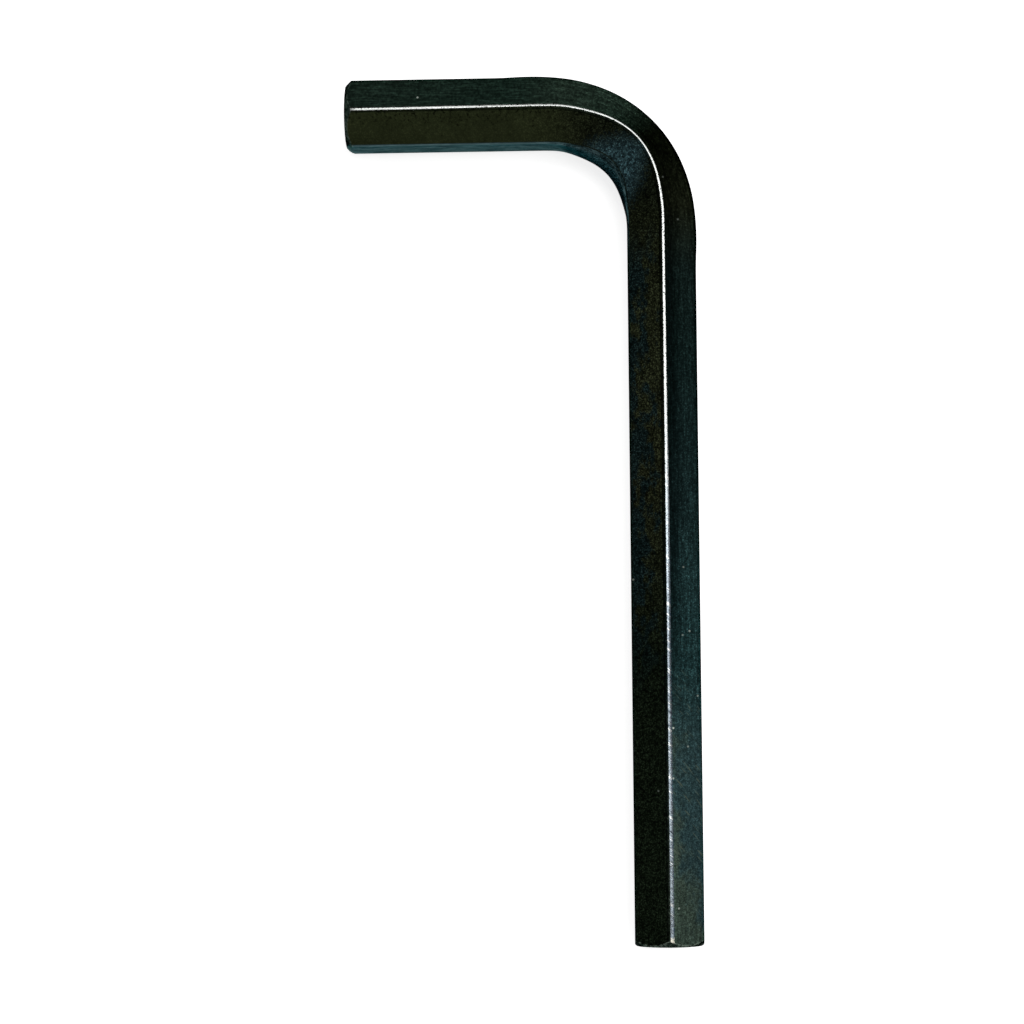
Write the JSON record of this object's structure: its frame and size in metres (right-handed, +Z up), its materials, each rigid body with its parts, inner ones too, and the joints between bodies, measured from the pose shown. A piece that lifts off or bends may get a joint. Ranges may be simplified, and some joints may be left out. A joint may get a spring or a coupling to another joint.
{
  "type": "hex key",
  "caption": "L-shaped hex key: a black steel hexagonal bar bent cold into a long and a short arm, with a chamfered drive end on each.",
  "frame": {"origin": "bottom centre of the bounding box, on the surface that the key lies on", "axes": "+Z up, square to the bend's plane; the long arm's drive end points along -Y and the short arm's along -X"},
  "size_m": [0.0411, 0.1016, 0.009],
  "materials": {
    "black_steel": "black oxide on drawn steel, satin, with bright worn ridges"
  },
  "bodies": {
    "root": {"hex_key": "black_steel"}
  },
  "joints": []
}
